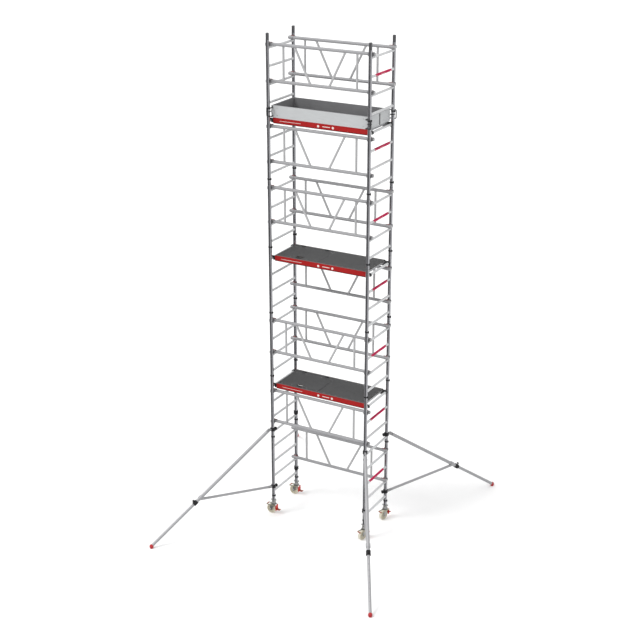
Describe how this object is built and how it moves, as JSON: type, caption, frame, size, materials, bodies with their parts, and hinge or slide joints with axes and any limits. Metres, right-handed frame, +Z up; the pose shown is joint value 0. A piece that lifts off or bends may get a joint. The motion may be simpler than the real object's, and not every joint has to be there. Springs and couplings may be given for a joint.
{
  "type": "mobile tower scaffold",
  "caption": "Narrow free-standing mobile tower scaffold with stacked ladder frames, trapdoor platforms, guardrails, toe boards, castors and stabilisers.",
  "frame": {"origin": "on the floor at the centre of the bay, midway between the four posts", "axes": "+Z up along the posts; X along the bay, +X towards the end frame whose castors are swivelled; the front long side faces -Y"},
  "size_m": [3.677, 4.3026, 7.335],
  "materials": {
    "post_grey": "extruded ribbed aluminium with light wear",
    "aluminium_tube": "drawn aluminium, lightly brushed",
    "spring_wire": "dark zinc-plated spring wire",
    "label_red": "printed vinyl sleeve",
    "claw_black": "glass-filled nylon, fine texture",
    "beam_red": "red powder coat",
    "deck_ply": "phenolic-faced plywood with slip-resistant pattern",
    "hook_steel": "dark cast hook",
    "toe_board": "mill-finish aluminium board",
    "strap_rubber": "black rubber strap",
    "zinc": "bright zinc plate",
    "tyre_cream": "cream moulded nylon",
    "brake_red": "red powder-coated steel",
    "foot_rubber": "dull red rubber"
  },
  "bodies": {
    "root": {"end_frames_1": "post_grey", "end_frames_2": "post_grey", "end_frames_3": "post_grey", "end_frames_4": "post_grey", "end_frames_5": "post_grey", "end_frames_6": "post_grey", "end_frames_7": "post_grey", "spigots": "aluminium_tube", "spring_clips": "spring_wire", "rung_labels": "label_red", "guardrails_lower": "aluminium_tube", "guardrails_middle": "aluminium_tube", "guardrails_top": "aluminium_tube", "brace_rails": "aluminium_tube", "rail_claws": "claw_black", "platform_frame_1": "beam_red", "platform_frame_2": "beam_red", "platform_frame_3": "beam_red", "deck_1": "deck_ply", "deck_2": "deck_ply", "deck_3": "deck_ply", "platform_hooks": "hook_steel", "toe_boards": "toe_board", "toe_board_clips": "strap_rubber", "leg_nuts": "zinc"},
    "hatch_1": {"hatch_1": "deck_ply"},
    "hatch_2": {"hatch_2": "deck_ply"},
    "hatch_3": {"hatch_3": "deck_ply"},
    "castor_leg_fl": {"castor_leg_fl": "zinc"},
    "castor_fork_fl": {"castor_fork_fl": "zinc"},
    "castor_wheel_fl": {"castor_wheel_fl": "tyre_cream"},
    "castor_brake_fl": {"castor_brake_fl": "brake_red"},
    "stabiliser_fl": {"stabiliser_arm_fl": "aluminium_tube", "stabiliser_clamps_fl": "claw_black"},
    "stabiliser_leg_fl": {"stabiliser_leg_fl": "aluminium_tube", "stabiliser_foot_fl": "foot_rubber"},
    "castor_leg_fr": {"castor_leg_fr": "zinc"},
    "castor_fork_fr": {"castor_fork_fr": "zinc"},
    "castor_wheel_fr": {"castor_wheel_fr": "tyre_cream"},
    "castor_brake_fr": {"castor_brake_fr": "brake_red"},
    "stabiliser_fr": {"stabiliser_arm_fr": "aluminium_tube", "stabiliser_clamps_fr": "claw_black"},
    "stabiliser_leg_fr": {"stabiliser_leg_fr": "aluminium_tube", "stabiliser_foot_fr": "foot_rubber"},
    "castor_leg_bl": {"castor_leg_bl": "zinc"},
    "castor_fork_bl": {"castor_fork_bl": "zinc"},
    "castor_wheel_bl": {"castor_wheel_bl": "tyre_cream"},
    "castor_brake_bl": {"castor_brake_bl": "brake_red"},
    "stabiliser_bl": {"stabiliser_arm_bl": "aluminium_tube", "stabiliser_clamps_bl": "claw_black"},
    "stabiliser_leg_bl": {"stabiliser_leg_bl": "aluminium_tube", "stabiliser_foot_bl": "foot_rubber"},
    "castor_leg_br": {"castor_leg_br": "zinc"},
    "castor_fork_br": {"castor_fork_br": "zinc"},
    "castor_wheel_br": {"castor_wheel_br": "tyre_cream"},
    "castor_brake_br": {"castor_brake_br": "brake_red"},
    "stabiliser_br": {"stabiliser_arm_br": "aluminium_tube", "stabiliser_clamps_br": "claw_black"},
    "stabiliser_leg_br": {"stabiliser_leg_br": "aluminium_tube", "stabiliser_foot_br": "foot_rubber"}
  },
  "joints": [
    {"name": "hatch_1_lift", "type": "hinge", "parent": "root", "child": "hatch_1", "pos_m": [0, 0.25, 2.185], "axis": [-1, 0, 0], "range_deg": [0, 88]},
    {"name": "hatch_2_lift", "type": "hinge", "parent": "root", "child": "hatch_2", "pos_m": [0, 0.25, 4.185], "axis": [-1, 0, 0], "range_deg": [0, 88]},
    {"name": "hatch_3_lift", "type": "hinge", "parent": "root", "child": "hatch_3", "pos_m": [0, 0.25, 6.185], "axis": [-1, 0, 0], "range_deg": [0, 88]},
    {"name": "leg_extend_fl", "type": "slide", "parent": "root", "child": "castor_leg_fl", "axis": [0, 0, -1], "range_m": [0, 0.2]},
    {"name": "castor_swivel_fl", "type": "hinge", "parent": "castor_leg_fl", "child": "castor_fork_fl", "pos_m": [-0.7825, -0.345, 0.17], "axis": [0, 0, 1], "continuous": true},
    {"name": "wheel_spin_fl", "type": "hinge", "parent": "castor_fork_fl", "child": "castor_wheel_fl", "pos_m": [-0.8205, -0.345, 0.075], "axis": [0, 1, 0], "continuous": true},
    {"name": "brake_release_fl", "type": "hinge", "parent": "castor_fork_fl", "child": "castor_brake_fl", "pos_m": [-0.7625, -0.345, 0.145], "axis": [0, -1, 0], "range_deg": [0, 8]},
    {"name": "stabiliser_swing_fl", "type": "hinge", "parent": "root", "child": "stabiliser_fl", "pos_m": [-0.7825, -0.345, 1.43], "axis": [0, 0, 1], "range_deg": [-40, 40]},
    {"name": "leg_retract_fl", "type": "slide", "parent": "stabiliser_fl", "child": "stabiliser_leg_fl", "axis": [0.4087, 0.7079, 0.5761], "range_m": [0, 0.45]},
    {"name": "leg_extend_fr", "type": "slide", "parent": "root", "child": "castor_leg_fr", "axis": [0, 0, -1], "range_m": [0, 0.2]},
    {"name": "castor_swivel_fr", "type": "hinge", "parent": "castor_leg_fr", "child": "castor_fork_fr", "pos_m": [0.7825, -0.345, 0.17], "axis": [0, 0, 1], "continuous": true},
    {"name": "wheel_spin_fr", "type": "hinge", "parent": "castor_fork_fr", "child": "castor_wheel_fr", "pos_m": [0.77267, -0.38171, 0.075], "axis": [-0.9659, 0.2588, 0], "continuous": true},
    {"name": "brake_release_fr", "type": "hinge", "parent": "castor_fork_fr", "child": "castor_brake_fr", "pos_m": [0.78768, -0.32568, 0.145], "axis": [0.9659, -0.2588, 0], "range_deg": [0, 8]},
    {"name": "stabiliser_swing_fr", "type": "hinge", "parent": "root", "child": "stabiliser_fr", "pos_m": [0.7825, -0.345, 1.43], "axis": [0, 0, 1], "range_deg": [-40, 40]},
    {"name": "leg_retract_fr", "type": "slide", "parent": "stabiliser_fr", "child": "stabiliser_leg_fr", "axis": [-0.4087, 0.7079, 0.5761], "range_m": [0, 0.45]},
    {"name": "leg_extend_bl", "type": "slide", "parent": "root", "child": "castor_leg_bl", "axis": [0, 0, -1], "range_m": [0, 0.2]},
    {"name": "castor_swivel_bl", "type": "hinge", "parent": "castor_leg_bl", "child": "castor_fork_bl", "pos_m": [-0.7825, 0.345, 0.17], "axis": [0, 0, 1], "continuous": true},
    {"name": "wheel_spin_bl", "type": "hinge", "parent": "castor_fork_bl", "child": "castor_wheel_bl", "pos_m": [-0.8205, 0.345, 0.075], "axis": [0, 1, 0], "continuous": true},
    {"name": "brake_release_bl", "type": "hinge", "parent": "castor_fork_bl", "child": "castor_brake_bl", "pos_m": [-0.7625, 0.345, 0.145], "axis": [0, -1, 0], "range_deg": [0, 8]},
    {"name": "stabiliser_swing_bl", "type": "hinge", "parent": "root", "child": "stabiliser_bl", "pos_m": [-0.7825, 0.345, 1.43], "axis": [0, 0, 1], "range_deg": [-40, 40]},
    {"name": "leg_retract_bl", "type": "slide", "parent": "stabiliser_bl", "child": "stabiliser_leg_bl", "axis": [0.4087, -0.7079, 0.5761], "range_m": [0, 0.45]},
    {"name": "leg_extend_br", "type": "slide", "parent": "root", "child": "castor_leg_br", "axis": [0, 0, -1], "range_m": [0, 0.2]},
    {"name": "castor_swivel_br", "type": "hinge", "parent": "castor_leg_br", "child": "castor_fork_br", "pos_m": [0.7825, 0.345, 0.17], "axis": [0, 0, 1], "continuous": true},
    {"name": "wheel_spin_br", "type": "hinge", "parent": "castor_fork_br", "child": "castor_wheel_br", "pos_m": [0.77267, 0.30829, 0.075], "axis": [-0.9659, 0.2588, 0], "continuous": true},
    {"name": "brake_release_br", "type": "hinge", "parent": "castor_fork_br", "child": "castor_brake_br", "pos_m": [0.78768, 0.36432, 0.145], "axis": [0.9659, -0.2588, 0], "range_deg": [0, 8]},
    {"name": "stabiliser_swing_br", "type": "hinge", "parent": "root", "child": "stabiliser_br", "pos_m": [0.7825, 0.345, 1.43], "axis": [0, 0, 1], "range_deg": [-40, 40]},
    {"name": "leg_retract_br", "type": "slide", "parent": "stabiliser_br", "child": "stabiliser_leg_br", "axis": [-0.4087, -0.7079, 0.5761], "range_m": [0, 0.45]}
  ]
}
